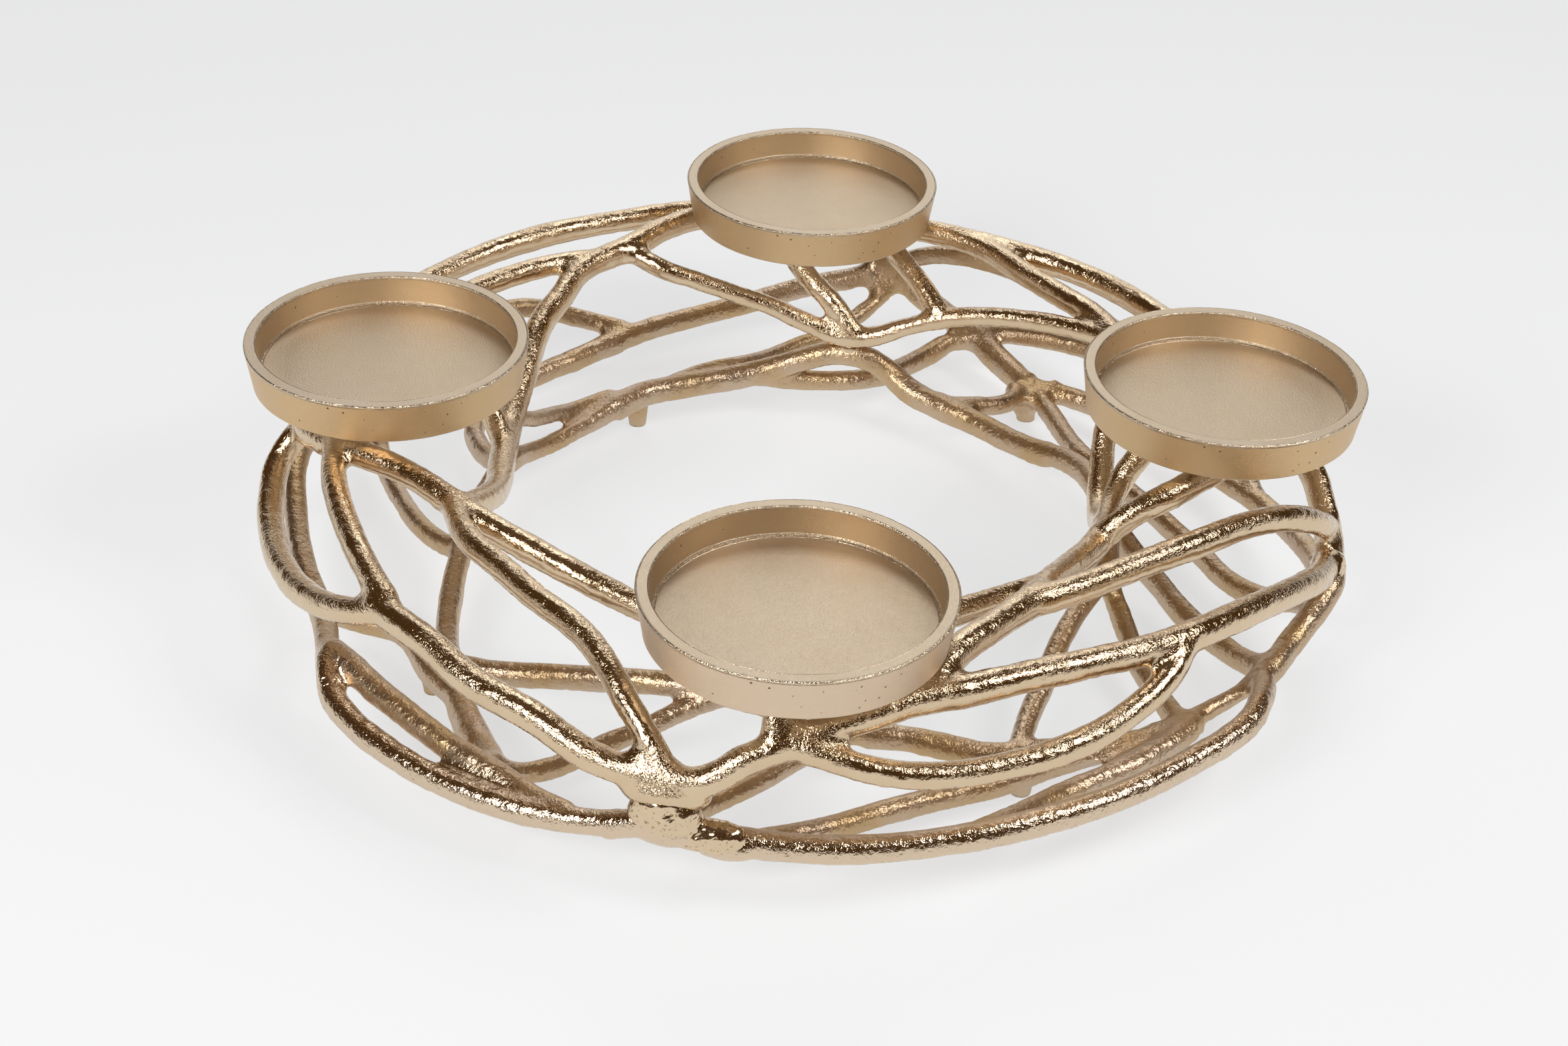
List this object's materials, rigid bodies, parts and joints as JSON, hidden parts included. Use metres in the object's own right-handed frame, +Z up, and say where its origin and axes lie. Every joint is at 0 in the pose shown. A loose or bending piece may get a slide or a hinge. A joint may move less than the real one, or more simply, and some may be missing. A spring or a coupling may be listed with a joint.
{
  "type": "advent candle holder",
  "caption": "Round wreath of cast branches on short feet, carrying shallow round cups for pillar candles.",
  "frame": {"origin": "on the ground plane, under the middle of the bounding box", "axes": "+Z up; +X towards the right cup, +Y towards the back cup, as seen from the front"},
  "size_m": [0.365, 0.36, 0.083],
  "materials": {
    "upper_casting": "polished cast metal plated in pale champagne gold",
    "lower_casting": "satin sand-cast metal plated in pale champagne gold",
    "cups": "satin ground metal plated in pale champagne gold",
    "joins": "ground weld metal plated in pale champagne gold"
  },
  "bodies": {
    "root": {"back_cup": "cups", "cup_seats": "joins", "feet": "lower_casting", "front_cup": "cups", "left_cup": "cups", "lower_back_cross_strut": "lower_casting", "lower_back_inner_strut": "lower_casting", "lower_back_left_outer_rail": "lower_casting", "lower_back_left_strut": "lower_casting", "lower_back_outer_rail": "lower_casting", "lower_back_right_foot_strut": "lower_casting", "lower_back_right_outer_rail": "lower_casting", "lower_back_right_strut": "lower_casting", "lower_front_inner_bow": "lower_casting", "lower_front_left_cross_strut": "lower_casting", "lower_front_left_foot_strut": "lower_casting", "lower_front_outer_rail": "lower_casting", "lower_front_right_cross_strut": "lower_casting", "lower_front_right_strut": "lower_casting", "lower_front_right_wide_strut": "lower_casting", "lower_front_weld_strut": "lower_casting", "lower_inner_ring_back": "lower_casting", "lower_inner_ring_left": "lower_casting", "lower_inner_ring_right": "lower_casting", "lower_left_cross_strut": "lower_casting", "lower_left_cup_strut": "lower_casting", "lower_left_outer_rail": "lower_casting", "lower_left_second_rail": "lower_casting", "lower_right_cross_strut": "lower_casting", "lower_right_outer_rail": "lower_casting", "lower_right_second_cross_strut": "lower_casting", "lower_right_third_cross_strut": "lower_casting", "lower_right_weld_strut": "lower_casting", "right_cup": "cups", "upper_back_cup_left_leg": "upper_casting", "upper_back_cup_right_leg": "upper_casting", "upper_back_inner_rail": "upper_casting", "upper_back_left_fork": "upper_casting", "upper_back_left_outer_rail": "upper_casting", "upper_back_left_rail": "upper_casting", "upper_back_right_inner_rail": "upper_casting", "upper_back_right_rail": "upper_casting", "upper_front_cup_crosspiece": "upper_casting", "upper_front_inner_bow": "upper_casting", "upper_front_left_brace": "upper_casting", "upper_front_left_rail": "upper_casting", "upper_front_right_lower_rail": "upper_casting", "upper_front_right_rail": "upper_casting", "upper_front_rise": "upper_casting", "upper_left_cup_beam": "upper_casting", "upper_left_cup_inner_stay": "upper_casting", "upper_left_outer_loop": "upper_casting", "upper_left_second_rib": "upper_casting", "upper_right_cup_brace": "upper_casting", "upper_right_cup_inner_brace": "upper_casting", "upper_right_cup_post": "upper_casting", "upper_right_loop": "upper_casting", "upper_right_outer_post": "upper_casting", "upper_right_rise": "upper_casting", "welds": "joins"}
  },
  "joints": []
}
